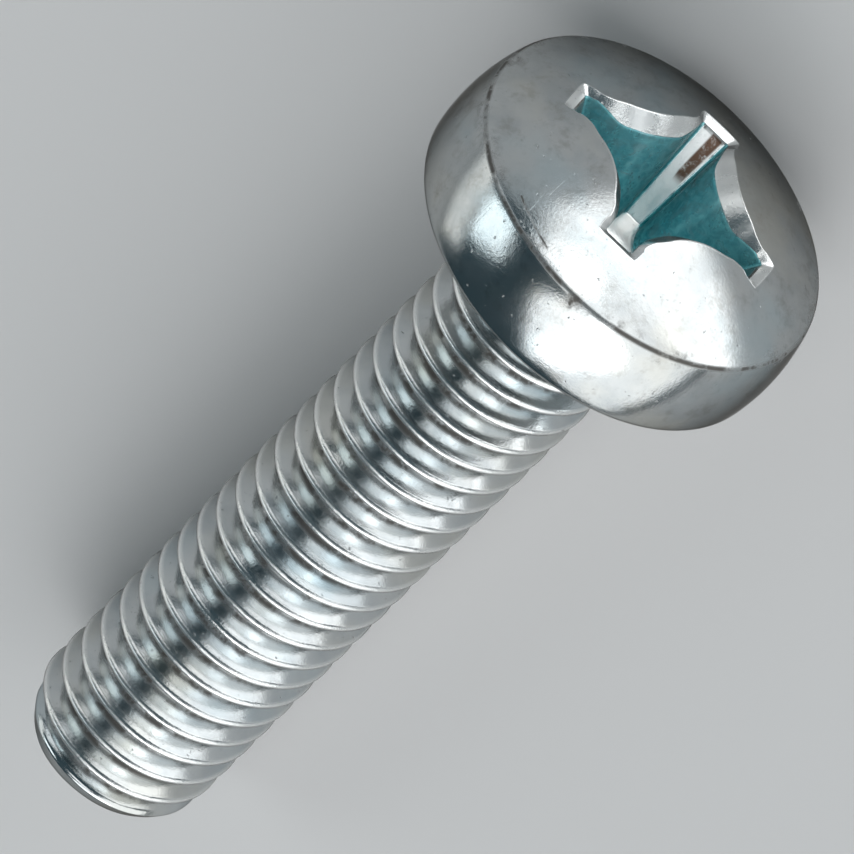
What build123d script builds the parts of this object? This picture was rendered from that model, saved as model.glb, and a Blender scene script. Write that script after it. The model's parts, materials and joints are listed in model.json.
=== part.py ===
from build123d import *
import math
import os

# Cross-recessed pan-head machine screw, M6 x 1 x 25, one piece of headed and rolled steel.
# It lies on its side as it comes to rest: the rim of the head and the edge of the tip touch z = 0,
# the head points along +X, and the origin is the middle of its footprint.
# Each shape below is first built upright, with the screw's axis on Z, the bearing face of the head
# at z = 0, the head above it and the shank below it. Everything is in millimetres.

# Shank
LENGTH = 25.0               # under the head to the end of the tip
THREAD_MAJOR_RADIUS = 2.94  # the crests of a plated M6 external thread
TIP_CHAMFER_LENGTH = 0.9
TIP_END_RADIUS = 2.42
NECK_FILLET = 0.25          # where the shank runs into the bearing face

# Head
HEAD_RADIUS = 5.95          # at its widest
WIDEST_HEIGHT = 1.1         # of the widest place above the bearing face
SIDE_ARC_RADIUS = 6.3       # of the bulged side, seen from beside the screw
CREASE_HEIGHT = 2.9         # where the bulged side meets the dome
HEAD_HEIGHT = 4.3
BEARING_EDGE_FILLET = 0.2
CREASE_FILLET = 0.12

# Size 3 cross recess, given at the height of its mouth and narrowing downwards
MOUTH_HEIGHT = 3.76
RECESS_TURN = 1.9           # degrees that the arms stand off the upright when the screw lies down
ARM_REACH = 3.5             # from the axis to an arm's end
ARM_HALF_WIDTH = 0.5
ARM_END_SLOPE = math.tan(math.radians(26.5))
ARM_SIDE_SLOPE = math.tan(math.radians(2.5))
LOBE_REACH = 1.91           # from the axis to the lobe of metal between two arms
LOBE_SLOPE = math.tan(math.radians(13.5))
LOBE_ANGLE = math.radians(155.0)
LOBE_ROUND = 1.0            # rounding of the lobe's ridge at the mouth
FLOOR_HEIGHT = 0.56
CONE_RADIUS = 1.0           # the shallow point that the punch leaves in the floor
CONE_DEPTH = 0.3
PUNCH_TOP = HEAD_HEIGHT + 0.5


def side_radius(height):
    """The radius of the head's bulged side at a height above the bearing face."""
    return HEAD_RADIUS - SIDE_ARC_RADIUS + math.sqrt(SIDE_ARC_RADIUS**2 - (height - WIDEST_HEIGHT)**2)


def head_blank():
    """The head with no recess: a bearing face, a bulged side, a crease and a dome."""
    crease = (side_radius(CREASE_HEIGHT), CREASE_HEIGHT)
    bearing_edge = (side_radius(0), 0)
    dome_rise = HEAD_HEIGHT - CREASE_HEIGHT
    dome_radius = (crease[0]**2 + dome_rise**2) / (2 * dome_rise)
    with BuildPart() as head:
        with BuildSketch(Plane.XZ) as section:
            with BuildLine():
                Line((0, 0), bearing_edge)
                ThreePointArc(bearing_edge, (HEAD_RADIUS, WIDEST_HEIGHT), crease)
                RadiusArc(crease, (0, HEAD_HEIGHT), -dome_radius)
                Line((0, HEAD_HEIGHT), (0, 0))
            make_face()
            corners = section.vertices().sort_by(Axis.X)
            fillet(corners[-1], radius=BEARING_EDGE_FILLET)
            fillet(section.vertices().group_by(Axis.Y)[-2], radius=CREASE_FILLET)
        revolve(axis=Axis.Z)
    return head.part


def shank():
    """The shank at the thread's crests, with its chamfered tip and the small fillet at its neck."""
    neck_edge = THREAD_MAJOR_RADIUS + NECK_FILLET
    chamfer_start = TIP_CHAMFER_LENGTH - LENGTH
    with BuildPart() as body:
        with BuildSketch(Plane.XZ):
            with BuildLine():
                Line((0, 0), (neck_edge, 0))
                RadiusArc((neck_edge, 0), (THREAD_MAJOR_RADIUS, -NECK_FILLET), -NECK_FILLET)
                Line((THREAD_MAJOR_RADIUS, -NECK_FILLET), (THREAD_MAJOR_RADIUS, chamfer_start))
                Line((THREAD_MAJOR_RADIUS, chamfer_start), (TIP_END_RADIUS, -LENGTH))
                Line((TIP_END_RADIUS, -LENGTH), (0, -LENGTH))
                Line((0, -LENGTH), (0, 0))
            make_face()
        revolve(axis=Axis.Z)
    return body.part


def recess_section(height):
    """One level section of the cross recess, with the ridges of its four lobes rounded."""
    rise = height - MOUTH_HEIGHT
    reach = ARM_REACH + rise * ARM_END_SLOPE
    half_width = ARM_HALF_WIDTH + rise * ARM_SIDE_SLOPE
    lobe = (LOBE_REACH + rise * LOBE_SLOPE) / math.sqrt(2)
    wall_slope = math.tan(LOBE_ANGLE / 2 - math.pi / 4)
    root = lobe + (lobe - half_width) / wall_slope
    quarter = [(reach, -half_width), (reach, half_width), (root, half_width), (lobe, lobe), (half_width, root)]
    corners = []
    for turn in range(4):
        corners += [Vector(x, y).rotate(Axis.Z, 90 * turn) for x, y in quarter]
    with BuildSketch(Plane.XY.offset(height)) as section:
        with BuildLine():
            Polyline(*corners, close=True)
        make_face()
        nearest = section.vertices().sort_by_distance((0, 0, 0))[:4]
        fillet(nearest, radius=LOBE_ROUND * lobe * math.sqrt(2) / LOBE_REACH)
    return section.sketch.face()


def recess():
    """The cross recess as its punch fills it: four tapered arms, four lobes and a shallow cone."""
    punch = loft([recess_section(FLOOR_HEIGHT), recess_section(PUNCH_TOP)], ruled=True)
    cone = Cone(0.05, CONE_RADIUS, CONE_DEPTH, align=(Align.CENTER, Align.CENTER, Align.MAX))
    return Rot(0, 0, RECESS_TURN) * (punch + Pos(0, 0, FLOOR_HEIGHT) * cone)


def lay_down(upright):
    """Turns the upright screw so that its head points along +X, and sets it down on z = 0.

    The floor touches the bulged side of the head and the corner where the tip's chamfer starts, so
    it is the tangent from that corner to the side's arc.
    """
    along = WIDEST_HEIGHT - (TIP_CHAMFER_LENGTH - LENGTH)
    out = HEAD_RADIUS - SIDE_ARC_RADIUS - THREAD_MAJOR_RADIUS
    tilt = math.atan2(out, along) + math.asin(SIDE_ARC_RADIUS / math.hypot(along, out))
    height = THREAD_MAJOR_RADIUS * math.cos(tilt) + (LENGTH - TIP_CHAMFER_LENGTH) * math.sin(tilt)
    laid = Pos(0, 0, height) * Rot(0, 90 - math.degrees(tilt), 0) * upright
    return Pos(-laid.bounding_box().center().X, 0, 0) * laid


os.makedirs("parts", exist_ok=True)
screw = lay_down(head_blank() + shank() - recess())
screw.label = "machine_screw"
export_step(screw, "parts/machine_screw.step")
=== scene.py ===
import json
import math

import bmesh
import bpy
from mathutils import Matrix, Vector


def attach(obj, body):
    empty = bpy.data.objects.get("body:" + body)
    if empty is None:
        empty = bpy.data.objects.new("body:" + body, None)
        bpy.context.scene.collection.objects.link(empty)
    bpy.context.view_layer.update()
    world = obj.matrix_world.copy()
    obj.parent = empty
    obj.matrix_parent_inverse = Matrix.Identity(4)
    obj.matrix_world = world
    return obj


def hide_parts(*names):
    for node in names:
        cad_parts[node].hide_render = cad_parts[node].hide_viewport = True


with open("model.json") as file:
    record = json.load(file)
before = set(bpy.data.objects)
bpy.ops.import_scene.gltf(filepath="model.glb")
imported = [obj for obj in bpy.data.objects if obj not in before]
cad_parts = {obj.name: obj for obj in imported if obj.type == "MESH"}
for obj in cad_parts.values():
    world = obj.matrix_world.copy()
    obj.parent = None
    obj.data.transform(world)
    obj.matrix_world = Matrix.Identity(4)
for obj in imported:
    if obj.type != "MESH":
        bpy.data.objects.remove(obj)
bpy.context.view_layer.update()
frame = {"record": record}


# --- How the screw lies -----------------------------------------------------------------------------
# A loose screw rests on the rim of its head and the edge of its tip. Its shape is made upright first,
# with the axis on Z and the bearing face of the head at zero, and is then laid on the solid's axis.
mounts = {mount["name"]: mount for mount in frame["record"]["mounts"]}
crest_radius = mounts["threaded_shank"]["dims"]["r_mm"] / 1000
plain_length = mounts["threaded_shank"]["dims"]["length_mm"] / 1000
neck_fillet = 0.00025
towards_head = -Vector(mounts["threaded_shank"]["axis"]).normalized()
under_head = Vector(mounts["threaded_shank"]["pos_m"]) + towards_head * (plain_length / 2 + neck_fillet)
sideways = Vector((0, 1, 0))
downwards = sideways.cross(towards_head)
lying = Matrix((downwards, sideways, towards_head)).transposed().to_4x4()
lying.translation = under_head


# --- Zinc-plated steel ------------------------------------------------------------------------------
# The whole screw is bright zinc on steel, sealed in a thin blue passivate that is pale on open faces.
# Down in the recess a deep teal is painted on, standing in for the colour light takes on bouncing between
# the walls.
steel = bpy.data.materials.new("blue passivated zinc")
steel.use_nodes = True
steel_nodes = steel.node_tree.nodes
steel_links = steel.node_tree.links
steel_shader = steel_nodes["Principled BSDF"]


def steel_node(kind, inputs=None, **settings):
    """One node of the steel's material, with its settings, and its inputs given as sockets or values."""
    node = steel_nodes.new(kind)
    for name, value in settings.items():
        setattr(node, name, value)
    for name, value in (inputs or {}).items():
        if isinstance(value, bpy.types.NodeSocket):
            steel_links.new(value, node.inputs[name])
        else:
            node.inputs[name].default_value = value
    return node


def noise(scale, detail, roughness=0.5, distortion=0.0):
    """A noise pattern through the steel, at a scale in patches for each metre."""
    values = {"Vector": steel_place, "Scale": scale, "Detail": detail}
    values |= {"Roughness": roughness, "Distortion": distortion}
    return steel_node("ShaderNodeTexNoise", values).outputs["Fac"]


def ramp(value, low, high):
    """A smooth step from 0 at the low value to 1 at the high one."""
    inputs = {"Value": value, "From Min": low, "From Max": high}
    return steel_node("ShaderNodeMapRange", inputs, interpolation_type="SMOOTHSTEP").outputs[0]


def steel_math(operation, a, b):
    """Two numbers of the steel's material worked into one, kept between 0 and 1."""
    return steel_node("ShaderNodeMath", {0: a, 1: b}, operation=operation, use_clamp=True).outputs[0]


def raised(relief, pattern, depth):
    """The steel's relief with one more pattern added, at its own depth."""
    values = {0: pattern, 1: depth, 2: relief}
    return steel_node("ShaderNodeMath", values, operation="MULTIPLY_ADD").outputs[0]


def tint(amount, under, over):
    """One colour laid over another by an amount."""
    mix = steel_node("ShaderNodeMix", {"Factor": amount}, data_type="RGBA")
    for socket, colour in ((mix.inputs[6], under), (mix.inputs[7], over)):
        if isinstance(colour, bpy.types.NodeSocket):
            steel_links.new(colour, socket)
        else:
            socket.default_value = (*colour, 1)
    return mix.outputs[2]


steel_place = steel_node("ShaderNodeTexCoord").outputs["Object"]
painted_teal = steel_node("ShaderNodeAttribute", attribute_name="painted_teal").outputs["Fac"]
wear_and_highlight = steel_node("ShaderNodeAttribute", attribute_name="wear_and_highlight").outputs["Fac"]
grime_and_shade = steel_node("ShaderNodeAttribute", attribute_name="grime_and_shade").outputs["Fac"]
stain = steel_node("ShaderNodeAttribute", attribute_name="stain").outputs["Fac"]
clouded = steel_node("ShaderNodeAttribute", attribute_name="clouded").outputs["Fac"]

# Cloudy brightness and a faint yellow or blue cast come from the plating's uneven thickness.
thin_zinc = (0.465, 0.50, 0.515)
thick_zinc = (0.57, 0.595, 0.60)
clouded_zinc = (0.27, 0.27, 0.255)
blue_cast = (0.42, 0.55, 0.60)
yellow_cast = (0.58, 0.555, 0.48)
cast_strength = 0.35
clouds = noise(700, 5, 0.6)
casts = noise(260, 3)
colour = tint(ramp(clouds, 0.3, 0.65), thin_zinc, thick_zinc)
mottle = steel_math("MULTIPLY", ramp(noise(1500, 7, 0.75), 0.48, 0.68), 0.38)
mottle = steel_math("ADD", mottle, 0.22)
colour = tint(steel_math("MULTIPLY", mottle, clouded), colour, clouded_zinc)
colour = tint(steel_math("MULTIPLY", ramp(casts, 0.5, 0.68), cast_strength), colour, blue_cast)
colour = tint(steel_math("MULTIPLY", ramp(casts, 0.5, 0.34), cast_strength), colour, yellow_cast)

# Down in the recess a teal is painted, streaky and dull enough to show its own colour, standing in for
# light bounced between the walls. The recess floor, the arms' ends, the mouth and the thread's crests are
# painted
# pale: partly wear from the punch and dies, partly a painted highlight. A brown stain has dried in one
# place.
deep_teal = (0.04, 0.38, 0.44)
pale_teal = (0.20, 0.66, 0.70)
burnish_highlight_zinc = (0.86, 0.87, 0.86)
stain_brown = (0.17, 0.10, 0.07)
teal = tint(ramp(noise(2600, 4, 0.6, 1.5), 0.3, 0.7), deep_teal, pale_teal)
patchy = ramp(noise(1500, 3, 0.6, 0.8), 0.2, 0.55)
patchy = steel_math("ADD", steel_math("MULTIPLY", patchy, 0.45), 0.55)
painted_teal = steel_math("MULTIPLY", painted_teal, patchy)
colour = tint(painted_teal, colour, teal)
# Pale zinc is painted on the recess floor, the arms' ends, the mouth and the thread's crests: partly wear,
# partly a painted highlight.
colour = tint(steel_math("MULTIPLY", wear_and_highlight, 0.9), colour, burnish_highlight_zinc)
stained = steel_math("MULTIPLY", ramp(stain, 0.05, 0.95), ramp(noise(3500, 5, 0.8), 0.2, 0.5))
colour = tint(stained, colour, stain_brown)

# A near-black colour is painted in short broken lines of painted shade along the crease and in the thread's
# roots, as a darker haze about the crease, and as dark specks in small pits over the head.
grime_and_shade_colour = (0.04, 0.032, 0.025)
broken = ramp(noise(1300, 6, 0.7), 0.42, 0.62)
line = ramp(grime_and_shade, 0.80, 0.95)
halo = steel_math("MULTIPLY", ramp(grime_and_shade, 0.1, 0.9), ramp(noise(900, 5, 0.7), 0.5, 0.72))
halo = steel_math("MULTIPLY", halo, clouded)
line = steel_math("MULTIPLY", line, steel_math("ADD", broken, 0.35))
grimy_and_shaded = steel_math("MULTIPLY", steel_math("MAXIMUM", line, halo), 0.85)
specks = ramp(noise(5200, 4, 0.6), 0.66, 0.76)
grimy_and_shaded = steel_math("MAXIMUM", grimy_and_shaded, steel_math("MULTIPLY", specks, 0.5))
colour = tint(grimy_and_shaded, colour, grime_and_shade_colour)
steel_links.new(colour, steel_shader.inputs["Base Color"])

# Where teal, grime, painted shade or the stain are painted, the metal loses some shine and is duller, and
# the surface keeps back some grazing light.
grazing_shine = (0.25, 0.24, 0.23)
cover = steel_math("MAXIMUM", steel_math("MAXIMUM", painted_teal, grimy_and_shaded), stained)
metal = steel_math("SUBTRACT", 1.0, steel_math("MULTIPLY", cover, 0.55))
steel_links.new(metal, steel_shader.inputs["Metallic"])
dull = steel_math("ADD", 0.11, steel_math("MULTIPLY", ramp(clouds, 0.7, 0.3), 0.09))
worked = steel_math("MAXIMUM", cover, wear_and_highlight)
dull = steel_math("ADD", dull, steel_math("MULTIPLY", worked, 0.15))
dull = steel_math("ADD", dull, steel_math("MULTIPLY", grimy_and_shaded, 0.3))
steel_links.new(dull, steel_shader.inputs["Roughness"])
steel_shader.inputs["Specular Tint"].default_value = (*grazing_shine, 1)

# The surface is not quite true: a fine orange peel on shallow waves, scattered pits, tool wear where
# the punch rubbed, and a few combed scratches. Each depth is a multiple of the peel's.
peel_depth = 0.0000038
relief = raised(noise(11000, 3, 0.7), noise(420, 2), 3.4)
relief = raised(relief, specks, -1.5)
relief = raised(relief, steel_math("MULTIPLY", noise(3600, 4, 0.7), wear_and_highlight), 5.0)
combing = {"Vector": steel_place, "Rotation": (0.3, 0.9, 1.2), "Scale": (400, 8000, 400)}
combed = steel_node("ShaderNodeMapping", combing).outputs["Vector"]
hairlines = steel_node("ShaderNodeTexNoise", {"Vector": combed, "Scale": 1.0, "Detail": 2.0})
scratches = steel_math("MULTIPLY", ramp(hairlines.outputs["Fac"], 0.66, 0.72), ramp(casts, 0.45, 0.6))
relief = raised(relief, scratches, -0.2)
bump = steel_node("ShaderNodeBump", {"Height": relief, "Distance": peel_depth, "Strength": 1.0})
steel_links.new(bump.outputs["Normal"], steel_shader.inputs["Normal"])


# --- Shank with its rolled thread -------------------------------------------------------------------
# Rolling dies press the V grooves into the wire and raise the crests, so the thread is one right-hand
# helix with flat crests and rounded roots. It runs out under the head and fades over the tip's chamfer.
columns = 192               # round the screw, the same on the shank and the head
rows_per_turn = 14
pitch = 0.001
thread_sizes = {
    "Pitch": pitch,
    "Crest radius": crest_radius,
    "Root radius": crest_radius - 0.61 * pitch,
    "Blank radius": 0.00268,
    "Top": -0.0004,
    "End": -0.025,
    "Run-out": 0.0011,
    "Chamfer length": 0.0009,
    "End radius": 0.00246,
    "Crest height": -0.00008,
    "Root flat": 0.14,          # these two are parts of half a pitch
    "Flank width": 0.74,
    "Root softness": 0.08,
    "Crest softness": 0.05,
    "Chamfer softness": 0.00008,
    "Crowding": 0.05,           # how far the rows crowd towards the roots and crests, in turns
    "Overlap": 0.06,            # how far the sheet starts above the neck, in turns
    "Seam gap": 0.000004,
}
turns = math.ceil((thread_sizes["Top"] - thread_sizes["End"]) / pitch) + 1

rolled = bpy.data.node_groups.new("rolled thread", "GeometryNodeTree")
rolled.interface.new_socket("Geometry", in_out="INPUT", socket_type="NodeSocketGeometry")
for name, value in thread_sizes.items():
    size = rolled.interface.new_socket(name, in_out="INPUT", socket_type="NodeSocketFloat")
    size.default_value = value
rolled.interface.new_socket("Columns", in_out="INPUT", socket_type="NodeSocketInt").default_value = columns
rolled.interface.new_socket("Rows", in_out="INPUT", socket_type="NodeSocketInt").default_value = 1
rolled.interface.new_socket("Steel", in_out="INPUT", socket_type="NodeSocketMaterial")
rolled.interface.new_socket("Geometry", in_out="OUTPUT", socket_type="NodeSocketGeometry")
given = rolled.nodes.new("NodeGroupInput").outputs


def calc(operation, *values):
    """One Math node in the thread's tree: its inputs are sockets or plain numbers."""
    node = rolled.nodes.new("ShaderNodeMath")
    node.operation = operation
    for socket, value in zip(node.inputs, values):
        if isinstance(value, bpy.types.NodeSocket):
            rolled.links.new(value, socket)
        else:
            socket.default_value = value
    return node.outputs[0]


# A flat sheet, wide as one turn round the screw and long as all its turns, is rolled into the helix.
sheet = rolled.nodes.new("GeometryNodeMeshGrid")
rolled.links.new(calc("ADD", given["Columns"], 1), sheet.inputs["Vertices X"])
rolled.links.new(calc("ADD", given["Rows"], 1), sheet.inputs["Vertices Y"])
place = rolled.nodes.new("ShaderNodeSeparateXYZ")
rolled.links.new(rolled.nodes.new("GeometryNodeInputPosition").outputs[0], place.inputs[0])
round_part = calc("ADD", place.outputs["X"], 0.5)
down_part = calc("SUBTRACT", 0.5, place.outputs["Y"])
angle = calc("MULTIPLY", round_part, 2 * math.pi)
turns_down = calc("SUBTRACT", calc("MULTIPLY", down_part, turns), round_part)
turns_down = calc("SUBTRACT", turns_down, given["Overlap"])

# The rows crowd towards every root and crest, twice a turn, because the surface bends most there.
start = calc("DIVIDE", calc("SUBTRACT", given["Top"], given["Crest height"]), given["Pitch"])
below_crest = calc("SUBTRACT", turns_down, start)
crowding = calc("SINE", calc("MULTIPLY", calc("ADD", below_crest, round_part), 4 * math.pi))
turns_down = calc("SUBTRACT", turns_down, calc("MULTIPLY", crowding, given["Crowding"]))
height = calc("SUBTRACT", given["Top"], calc("MULTIPLY", turns_down, given["Pitch"]))
height = calc("MAXIMUM", calc("MINIMUM", height, given["Top"]), given["End"])

# How far a point is from the middle of the groove: 0 at the root and 1 at the crest.
from_crest = calc("DIVIDE", calc("SUBTRACT", height, given["Crest height"]), given["Pitch"])
phase = calc("FRACT", calc("SUBTRACT", from_crest, round_part))
groove_side = calc("ABSOLUTE", calc("SUBTRACT", calc("MULTIPLY", phase, 2), 1))
flank = calc("DIVIDE", calc("SUBTRACT", groove_side, given["Root flat"]), given["Flank width"])
flank = calc("SMOOTH_MAX", flank, 0, given["Root softness"])
flank = calc("SMOOTH_MIN", flank, 1, given["Crest softness"])
thread_depth = calc("SUBTRACT", given["Crest radius"], given["Root radius"])
threaded = calc("ADD", given["Root radius"], calc("MULTIPLY", flank, thread_depth))

# The run-out blends the thread into the plain neck, and the chamfer cuts it back towards the tip.
fade = rolled.nodes.new("ShaderNodeMapRange")
fade.interpolation_type = "SMOOTHSTEP"
rolled.links.new(calc("SUBTRACT", given["Top"], height), fade.inputs["Value"])
rolled.links.new(given["Run-out"], fade.inputs["From Max"])
above_blank = calc("SUBTRACT", threaded, given["Blank radius"])
radius = calc("ADD", given["Blank radius"], calc("MULTIPLY", above_blank, fade.outputs[0]))
chamfer_depth = calc("SUBTRACT", given["Crest radius"], given["End radius"])
chamfer_slope = calc("DIVIDE", chamfer_depth, given["Chamfer length"])
above_end = calc("SUBTRACT", height, given["End"])
chamfer_radius = calc("ADD", given["End radius"], calc("MULTIPLY", above_end, chamfer_slope))
radius = calc("SMOOTH_MIN", radius, chamfer_radius, given["Chamfer softness"])

# The sheet's seam and its clamped top and bottom rows close up where their points fall together.
rolled_place = rolled.nodes.new("ShaderNodeCombineXYZ")
rolled.links.new(calc("MULTIPLY", radius, calc("COSINE", angle)), rolled_place.inputs["X"])
rolled.links.new(calc("MULTIPLY", radius, calc("SINE", angle)), rolled_place.inputs["Y"])
rolled.links.new(height, rolled_place.inputs["Z"])
wrap = rolled.nodes.new("GeometryNodeSetPosition")
rolled.links.new(sheet.outputs["Mesh"], wrap.inputs["Geometry"])
rolled.links.new(rolled_place.outputs[0], wrap.inputs["Position"])
closed = rolled.nodes.new("GeometryNodeMergeByDistance")
rolled.links.new(given["Seam gap"], closed.inputs["Distance"])
rolled.links.new(wrap.outputs["Geometry"], closed.inputs["Geometry"])
real = rolled.nodes.new("GeometryNodeRealizeInstances")
rolled.links.new(closed.outputs["Geometry"], real.inputs["Geometry"])
painted = rolled.nodes.new("GeometryNodeSetMaterial")
rolled.links.new(real.outputs["Geometry"], painted.inputs["Geometry"])
rolled.links.new(given["Steel"], painted.inputs["Material"])
rolled.links.new(painted.outputs["Geometry"], rolled.nodes.new("NodeGroupOutput").inputs["Geometry"])

shank = bpy.data.objects.new("shank", bpy.data.meshes.new("shank"))
bpy.context.collection.objects.link(shank)
rolling = shank.modifiers.new("rolled thread", "NODES")
rolling.node_group = rolled
inputs = {item.name: item.identifier for item in rolled.interface.items_tree if item.in_out == "INPUT"}
for name, value in thread_sizes.items():
    rolling[inputs[name]] = value
rolling[inputs["Columns"]] = columns
rolling[inputs["Rows"]] = turns * rows_per_turn
rolling[inputs["Steel"]] = steel
threaded_mesh = bpy.data.meshes.new_from_object(shank.evaluated_get(bpy.context.evaluated_depsgraph_get()))
shank.modifiers.remove(rolling)
bpy.data.objects.remove(shank)


# --- Head with its cross recess ---------------------------------------------------------------------
# The head is upset cold from the same wire: a low dome, a crease, a bulged side and a flat underside.
# A punch drives the cross recess into it, and the metal it drags down leaves a flared, rolled mouth.
head_radius = 0.00595
widest_height = 0.0011
side_arc_radius = 0.0063
crease_height = 0.0029
head_height = 0.0043
crease_round = 0.00011
bearing_edge_round = 0.00022
neck_round = 0.0003

mouth_height = 0.00376
floor_height = 0.00056
recess_turn = math.radians(1.9)
arm_reach = 0.0035
arm_half_width = 0.0005
arm_end_slope = math.tan(math.radians(26.5))
arm_side_slope = math.tan(math.radians(3))
lobe_reach = 0.00180
lobe_slope = math.tan(math.radians(13.5))
lobe_root = 0.00305
lobe_root_slope = math.tan(math.radians(22))
arm_corner_round = 0.00012
corner_stretch = 1.5        # how much further the flare reaches at the corners of an arm's end
rim_out = 0.00006           # the mouth's flare over the dome, and what the lobes and tips add to it
lobe_flare_out = 0.00026
tip_flare_out = 0.00014
rim_down = 0.00008          # the same down the wall
lobe_flare_down = 0.00042
tip_flare_down = 0.00010
rim_swell = 0.00001
cone_radius = 0.00094
cone_depth = 0.0003


def side_radius(height):
    """The radius of the bulged side at a height above the bearing face."""
    return head_radius - side_arc_radius + math.sqrt(side_arc_radius**2 - (height - widest_height)**2)


crease_radius = side_radius(crease_height)
dome_rise = head_height - crease_height
dome_radius = (crease_radius**2 + dome_rise**2) / (2 * dome_rise)


def dome_height(radius):
    """The height of the dome at a distance from the axis."""
    return head_height - dome_radius + math.sqrt(dome_radius**2 - radius**2)


def between(start, end, part):
    """The point a part of the way from one plan or profile point to another."""
    return (start[0] + (end[0] - start[0]) * part, start[1] + (end[1] - start[1]) * part)


def rounded(before, corner, after, size, steps):
    """Points along a corner that is rounded off from a length size before it to the same after it."""
    start = between(corner, before, size / math.dist(corner, before))
    end = between(corner, after, size / math.dist(corner, after))
    bend = [step / steps for step in range(steps + 1)]
    return [between(between(start, corner, part), between(corner, end, part), part) for part in bend]


def along(points, count):
    """A number of points spread evenly along a line through the given ones, without its last point."""
    lengths = [math.dist(a, b) for a, b in zip(points, points[1:])]
    spread = []
    for index in range(count):
        distance = sum(lengths) * index / count
        leg = 0
        while distance > lengths[leg]:
            distance -= lengths[leg]
            leg += 1
        spread.append(between(points[leg], points[leg + 1], distance / lengths[leg]))
    return spread


arm_columns = columns // 4
end_steps = 4               # an arm's half end, its corner and its side, and then half a lobe
corner_steps = 4
side_steps = 4
lobe_steps = arm_columns // 2 - end_steps - corner_steps - side_steps


def from_arm_middle(column):
    """How many columns a column is from the middle of the nearest arm's end."""
    return min(column % arm_columns, arm_columns - column % arm_columns)


def recess_outline(height):
    """One level outline of the recess, with a point for each column, from the middle of one arm's end."""
    rise = height - mouth_height
    reach = arm_reach + rise * arm_end_slope
    half_width = arm_half_width + rise * arm_side_slope
    root = lobe_root + rise * lobe_root_slope
    ridge = (lobe_reach + rise * lobe_slope) / math.sqrt(2)
    centre = (root**2 + half_width**2 - 2 * ridge**2) / (2 * (root + half_width) - 4 * ridge)
    start = math.atan2(half_width - centre, root - centre)
    arc_radius = math.hypot(half_width - centre, root - centre)
    lobe = []
    for step in range(lobe_steps + 1):
        turn = start + (-0.75 * math.pi - start) * step / lobe_steps
        lobe.append((centre + arc_radius * math.cos(turn), centre + arc_radius * math.sin(turn)))
    corner = rounded((reach, 0.0), (reach, half_width), lobe[0], arm_corner_round, corner_steps)
    half = along([(reach, 0.0), corner[0]], end_steps) + corner[:-1]
    half += along([corner[-1], lobe[0]], side_steps) + lobe[:-1]
    other_half = [(y, x) for x, y in [*half[1:], lobe[-1]][::-1]]
    outline = []
    for quarter in range(4):
        turned = math.pi / 2 * quarter + recess_turn
        cosine = math.cos(turned)
        sine = math.sin(turned)
        outline += [(x * cosine - y * sine, x * sine + y * cosine) for x, y in half + other_half]
    return outline


floor_outline = recess_outline(floor_height)
top_outline = recess_outline(head_height)
circle = [(math.cos(2 * math.pi * i / columns), math.sin(2 * math.pi * i / columns)) for i in range(columns)]


def wall_point(column, height):
    """A point of the recess's wall, which is straight from the floor up past the dome."""
    part = (height - floor_height) / (head_height - floor_height)
    return between(floor_outline[column], top_outline[column], part)


# Every level ring of the head, from the recess's floor out to the neck, starting with the cone.
rows = []
cone_parts = (0.08, 0.3, 0.55, 0.8, 1.0)
floor_parts = (0.35, 0.7, 0.93)
cone_edge = [(x * cone_radius, y * cone_radius) for x, y in circle]
for part in cone_parts:
    rows.append([(x * part, y * part, floor_height - cone_depth * (1 - part)) for x, y in cone_edge])
for part in floor_parts:
    floor_ring = [between(inner, outer, part) for inner, outer in zip(cone_edge, floor_outline)]
    rows.append([(x, y, floor_height) for x, y in floor_ring])

# Where each column's wall would meet the dome, closed in on step by step.
mouth = []
for column in range(columns):
    height = mouth_height
    for _ in range(12):
        height = dome_height(math.hypot(*wall_point(column, height)))
    mouth.append((*wall_point(column, height), height))

# The mouth's flare: how far it reaches out over the dome and down the wall at each column. It is a
# wide flat chamfer on the four lobes, thins out towards the arms' roots, and opens again at the tips.
lobe_start = 11             # in columns from the middle of an arm's end
lobe_rise = 7
tip_finish = 15
tip_fall = 5
flare_out = []
flare_down = []
for column in range(columns):
    on_lobe = max(0.0, min(1.0, (from_arm_middle(column) - lobe_start) / lobe_rise))
    on_lobe *= on_lobe * (3 - 2 * on_lobe)
    on_tip = max(0.0, min(1.0, (tip_finish - from_arm_middle(column)) / tip_fall))
    flare_out.append(rim_out + lobe_flare_out * on_lobe + tip_flare_out * on_tip)
    flare_down.append(rim_down + lobe_flare_down * on_lobe + tip_flare_down * on_tip)


def outward(column):
    """The plan direction straight out of the recess's wall at a column."""
    before = mouth[column - 1]
    after = mouth[(column + 1) % columns]
    along_wall = (after[0] - before[0], after[1] - before[1])
    length = math.hypot(*along_wall)
    return (along_wall[1] / length, -along_wall[0] / length)


def mitred(direction, column):
    """A flare's direction, made square at the two corners of an arm's end, so that they stay sharp."""
    if from_arm_middle(column) >= lobe_start:
        return direction
    arm = round(column / arm_columns) * math.pi / 2 + recess_turn
    along_arm = (math.cos(arm), math.sin(arm))
    lengthways = direction[0] * along_arm[0] + direction[1] * along_arm[1]
    across = direction[1] * along_arm[0] - direction[0] * along_arm[1]
    lengthways = max(-1.0, min(1.0, lengthways * corner_stretch))
    across = max(-1.0, min(1.0, across * corner_stretch))
    return (
        lengthways * along_arm[0] - across * along_arm[1],
        lengthways * along_arm[1] + across * along_arm[0],
    )


wall_parts = [0.0, 0.015, 0.04, 0.1, 0.2, 0.32, 0.44, 0.56, 0.68, 0.8, 0.9, 0.97, 1.0]
for part in wall_parts:
    ring = []
    for column in range(columns):
        low = floor_height
        high = mouth[column][2] - flare_down[column]
        height = low + (high - low) * part
        ring.append((*wall_point(column, height), height))
    rows.append(ring)

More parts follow.
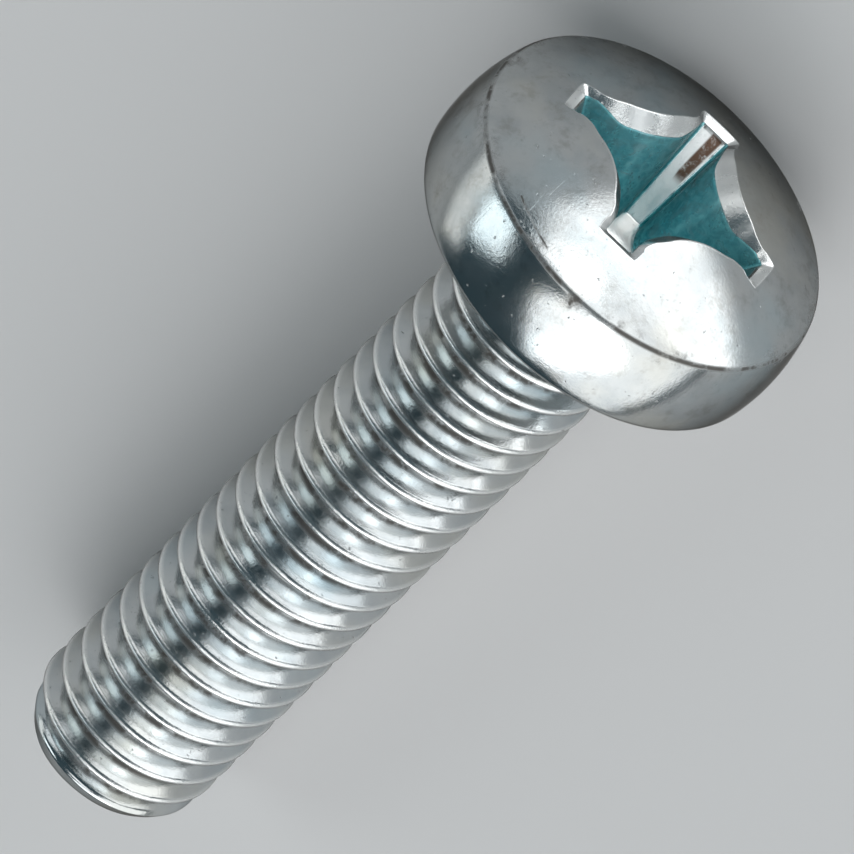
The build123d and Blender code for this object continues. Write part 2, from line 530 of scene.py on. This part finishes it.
rim_steps = (0.04, 0.2, 0.5, 0.8, 0.94, 1.0)
rim_rings = [[] for _ in rim_steps]
rim_edge = []
for column, (x, y, height) in enumerate(mouth):
    knee_height = height - flare_down[column]
    knee = (*wall_point(column, knee_height), knee_height)
    out_x, out_y = mitred(outward(column), column)
    edge = (x + out_x * flare_out[column], y + out_y * flare_out[column])
    edge_height = dome_height(math.hypot(*edge))
    rim_edge.append(edge)
    for ring, part in zip(rim_rings, rim_steps):
        swell = rim_swell * math.sin(math.pi * part)
        height = knee_height + (edge_height - knee_height) * part + swell
        ring.append((*between(knee, edge, part), height))
rows += rim_rings

dome_edge_radius = crease_radius - crease_round
dome_parts = (0.02, 0.06, 0.14, 0.24, 0.36, 0.48, 0.6, 0.7, 0.8, 0.88, 0.94)
for part in dome_parts:
    ring = []
    for near, (x, y) in zip(rim_edge, circle):
        spot = between(near, (x * dome_edge_radius, y * dome_edge_radius), part)
        ring.append((*spot, dome_height(math.hypot(*spot))))
    rows.append(ring)

# The rest is round, so it is a profile: out over the crease, down the side, in under the head.
dome_edge = (dome_edge_radius, dome_height(dome_edge_radius))
side_edge = (side_radius(crease_height - crease_round), crease_height - crease_round)
profile = rounded(dome_edge, (crease_radius, crease_height), side_edge, crease_round, 5)
bulge_steps = 15
for step in range(1, bulge_steps):
    height = side_edge[1] + (bearing_edge_round - side_edge[1]) * step / bulge_steps
    profile.append((side_radius(height), height))
rim_low = (side_radius(bearing_edge_round), bearing_edge_round)
rim_corner = (side_radius(0), 0.0)
neck_radius = thread_sizes["Blank radius"]
fillet_corner = (neck_radius, 0.0)
profile += rounded(rim_low, rim_corner, fillet_corner, bearing_edge_round, 5)
for part in (0.24, 0.48, 0.72, 0.84):
    profile.append(between(rim_corner, fillet_corner, part))
profile += rounded(rim_corner, fillet_corner, (neck_radius, thread_sizes["Top"]), neck_round, 6)
for out, height in profile:
    rows.append([(x * out, y * out, height) for x, y in circle])
rows.append([(x * neck_radius, y * neck_radius, thread_sizes["Top"]) for x, y in circle])

points = [point for ring in rows for point in ring]
faces = []
for row in range(len(rows) - 1):
    for column in range(columns):
        beside = (column + 1) % columns
        faces.append((
            row * columns + column,
            (row + 1) * columns + column,
            (row + 1) * columns + beside,
            row * columns + beside,
        ))
points.append((0, 0, floor_height - cone_depth))
faces += [(len(points) - 1, column, (column + 1) % columns) for column in range(columns)]
head_mesh = bpy.data.meshes.new("head")
head_mesh.from_pydata(points, [], faces)


# Painted teal covers the recess's side walls, standing in for light bounced between them. Its floor and
# the ends of its arms are painted pale, partly punch wear and partly a painted highlight. Painted shade lies
# along the crease, and a dark line is painted at the tops of the arms' ends.
marks_of_point = []
mark_names = ("painted_teal", "wear_and_highlight", "grime_and_shade", "stain", "clouded")
wall_start = len(cone_parts) + len(floor_parts)
rim_start = wall_start + len(wall_parts)
dome_start = rim_start + len(rim_steps)
# How much the painted teal fades from the recess's floor up to its mouth.
painted_teal_fade = 0.25        # of the film from the floor up to the mouth
# The mouth's rim gets most of the pale paint: partly wear, partly a painted highlight.
rim_wear_and_highlight = 0.7
# Painted shade reaches this far from the crease.
crease_shade_width = 0.0006
stain_columns = (0, columns - 3, columns - 2, columns - 1)
crack_row = dome_start + len(dome_parts) - 2
crack_columns = range(79, 90)
drip_column = 98
drip_length = 0.0004
for row, ring in enumerate(rows):
    in_wall = wall_start <= row < rim_start
    up_wall = wall_parts[row - wall_start] if in_wall else 0.0
    in_recess = row < dome_start
    for column, (x, y, height) in enumerate(ring):
        on_end = from_arm_middle(column) <= end_steps
        painted_teal = 0.0 if on_end or not in_wall else 1.0 - painted_teal_fade * up_wall
        wear_and_highlight = 1.0 if row < wall_start or (in_wall and on_end) else 0.0
        if rim_start <= row < dome_start:
            wear_and_highlight = rim_wear_and_highlight
        from_crease = math.dist((math.hypot(x, y), height), (crease_radius, crease_height))
        grime_and_shade = 0.0 if in_recess else max(0.0, 1.0 - from_crease / crease_shade_width)
        # A dark line of painted shade is put at the tops of the arms' ends.
        if in_wall and on_end and up_wall > 0.95:
            grime_and_shade = 1.0
        if row == crack_row and column in crack_columns:        # a fine crack on the dome
            grime_and_shade = 1.0
        if column == drip_column and not in_recess and 0 < crease_height - height < drip_length:
            grime_and_shade = 1.0
        stain = 1.0 if in_wall and column in stain_columns and 0.5 < up_wall < 0.98 else 0.0
        clouded = 0.0 if in_recess else 1.0
        marks_of_point.append((painted_teal, wear_and_highlight, grime_and_shade, stain, clouded))
marks_of_point.append((0.0, 1.0, 0.0, 0.0, 0.0))


# --- One piece of metal -----------------------------------------------------------------------------
# Head and shank are the same wire, so their meshes are joined at the neck, and the sheared end of the
# wire closes the tip: a flat face with a slightly raised rim where the thread dies pinched it.
# The crests are painted pale this far down: partly polish from the dies, partly a painted highlight.
crest_polish_and_highlight_depth = 0.00009    # how far down from the thread's crests the dies polish it
# Painted shade darkens the thread's roots and reaches this far up from them.
root_shade_height = 0.0011 # how far up from its roots dirt gathers
clean_tip_length = 0.0006
joint_gap = 0.000006
end_rings = ((0.00004, 0.0), (0.00016, -0.00003), (0.0005, -0.00004), (0.0008, -0.00001))
whole = bmesh.new()
whole.from_mesh(threaded_mesh)
whole.from_mesh(head_mesh)
layers = {name: whole.verts.layers.float.new(name) for name in mark_names}
whole.verts.ensure_lookup_table()
head_start = len(threaded_mesh.vertices)
for point in whole.verts[:head_start]:
    out = math.hypot(*point.co.xy)
    below_crest = thread_sizes["Crest radius"] - out
    above_root = out - thread_sizes["Root radius"]
    point[layers["wear_and_highlight"]] = max(0.0, 1.0 - below_crest / crest_polish_and_highlight_depth)
    if point.co.z > thread_sizes["End"] + clean_tip_length:
        point[layers["grime_and_shade"]] = max(0.0, 1.0 - above_root / root_shade_height)
for point, marks in zip(whole.verts[head_start:], marks_of_point):
    for name, mark in zip(mark_names, marks):
        point[layers[name]] = mark
bmesh.ops.remove_doubles(whole, verts=whole.verts, dist=joint_gap)
open_edges = [edge for edge in whole.edges if edge.is_boundary]
end_face = bmesh.ops.holes_fill(whole, edges=open_edges, sides=0)["faces"]
for inset, depth in end_rings:
    bmesh.ops.inset_region(whole, faces=end_face, thickness=inset, depth=depth, use_even_offset=True)
bmesh.ops.poke(whole, faces=end_face)
bmesh.ops.recalc_face_normals(whole, faces=whole.faces)
bmesh.ops.transform(whole, matrix=lying, verts=whole.verts)
screw_mesh = bpy.data.meshes.new("plated screw")
whole.to_mesh(screw_mesh)
whole.free()
screw_mesh.materials.clear()
screw_mesh.materials.append(steel)
screw_mesh.shade_smooth()
screw = bpy.data.objects.new("plated_screw", screw_mesh)
bpy.context.collection.objects.link(screw)
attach(screw, "root")
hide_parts("machine_screw")


# --- Floor ------------------------------------------------------------------------------------------
# A plain pale table top under the screw, matt, so that it takes the screw's soft shadow.
half_side = 2.0
corners = [(x * half_side, y * half_side, 0) for x, y in ((-1, -1), (1, -1), (1, 1), (-1, 1))]
floor_mesh = bpy.data.meshes.new("floor")
floor_mesh.from_pydata(corners, [], [(0, 1, 2, 3)])
floor = bpy.data.objects.new("floor", floor_mesh)
bpy.context.collection.objects.link(floor)
pale = bpy.data.materials.new("pale floor")
pale.use_nodes = True
pale_shader = pale.node_tree.nodes["Principled BSDF"]
pale_shader.inputs["Base Color"].default_value = (0.55, 0.55, 0.55, 1)
pale_shader.inputs["Roughness"].default_value = 0.9
pale_shader.inputs["Specular IOR Level"].default_value = 0.1
floor_mesh.materials.append(pale)


# --- Light ------------------------------------------------------------------------------------------
# Soft boxes stand round a dim room, as for a small bright metal part: a tall wide one on the right,
# lower ones at the front and left, and a small one overhead. The camera sees none of them.
world = bpy.data.worlds.new("dim room")
world.use_nodes = True
room = world.node_tree.nodes["Background"]
room.inputs["Color"].default_value = (0.045, 0.075, 0.09, 1)
room.inputs["Strength"].default_value = 1.0
bpy.context.scene.world = world
lit_point = Vector((0.004, 0, 0.005))
white = (1.0, 1.0, 1.0)
warm_white = (1.0, 0.99, 0.95)
cool_white = (0.90, 0.98, 1.0)


def lamp(name, width, height, brightness, colour):
    """A rectangular area light whose face has a brightness, where 1 is white."""
    light = bpy.data.lights.new(name, "AREA")
    light.shape = "RECTANGLE"
    light.size = width
    light.size_y = height
    light.energy = brightness * math.pi * width * height
    light.color = colour
    placed = bpy.data.objects.new(name, light)
    bpy.context.collection.objects.link(placed)
    placed.visible_camera = False
    return placed


# Each soft box: its azimuth and elevation from the screw, distance, width, height and brightness.
soft_boxes = (
    ("right soft box", -103, 36, 0.5, 1.0, 0.56, 1.6, white),
    ("back right soft box", -146, 56, 0.5, 0.40, 0.36, 2.1, white),
    ("top soft box", -10, 82, 0.5, 0.24, 0.20, 1.8, white),
    ("front right soft box", -19, 11, 0.4, 0.36, 0.26, 1.7, white),
    ("low front soft box", 4, 4, 0.4, 0.12, 0.10, 2.1, white),
    ("front left soft box", 43, 17, 0.4, 0.22, 0.14, 1.1, white),
    ("left soft box", 99, 12, 0.5, 0.72, 0.16, 1.1, warm_white),
    ("high left soft box", 115, 36, 0.5, 0.20, 0.22, 2.1, cool_white),
)
for name, azimuth, elevation, distance, width, height, brightness, colour in soft_boxes:
    box = lamp(name, width, height, brightness, colour)
    level = math.cos(math.radians(elevation))
    towards = Vector((
        level * math.cos(math.radians(azimuth)),
        level * math.sin(math.radians(azimuth)),
        math.sin(math.radians(elevation)),
    ))
    box.location = lit_point + towards * distance
    box.rotation_euler = (-towards).to_track_quat("-Z", "Y").to_euler()

# A lit card lies face up on the table in front of the head, and shows as the white half of its dome.
card = lamp("front card", 0.14, 0.09, 1.75, white)
card.location = (0.104, -0.022, 0.0003)
card.rotation_euler = (math.pi, 0, math.radians(18))


# --- Camera -----------------------------------------------------------------------------------------
# A long lens in the screw's own upright plane looks down on the head. It is rolled, so that the screw
# runs up across the view from corner to corner.
view_angle = math.radians(52.3)             # between the screw's axis and the line to the camera
camera_roll = math.radians(45.1)
camera_distance = 0.5
shown_width = 0.023982                      # across the view, at the screw
middle_of_view = 0.00664                    # how far the view's middle is down the screw from its head
camera_rise = math.asin(towards_head.z) + view_angle
to_camera = Vector((math.cos(camera_rise), 0, math.sin(camera_rise)))
view_up = (towards_head - to_camera * math.cos(view_angle)).normalized()
view_right = view_up.cross(to_camera)
camera_data = bpy.data.cameras.new("camera")
camera_data.sensor_width = 36
camera_data.lens = camera_data.sensor_width * camera_distance / shown_width
camera_data.clip_start = 0.01
camera_data.clip_end = 20
camera = bpy.data.objects.new("camera", camera_data)
bpy.context.collection.objects.link(camera)
facing = Matrix((view_right, view_up, to_camera)).transposed().to_4x4()
camera.matrix_world = Matrix.Rotation(camera_roll, 4, to_camera) @ facing
camera.location = under_head - view_up * middle_of_view + to_camera * camera_distance
bpy.context.scene.camera = camera
bpy.context.scene.view_settings.view_transform = "Standard"
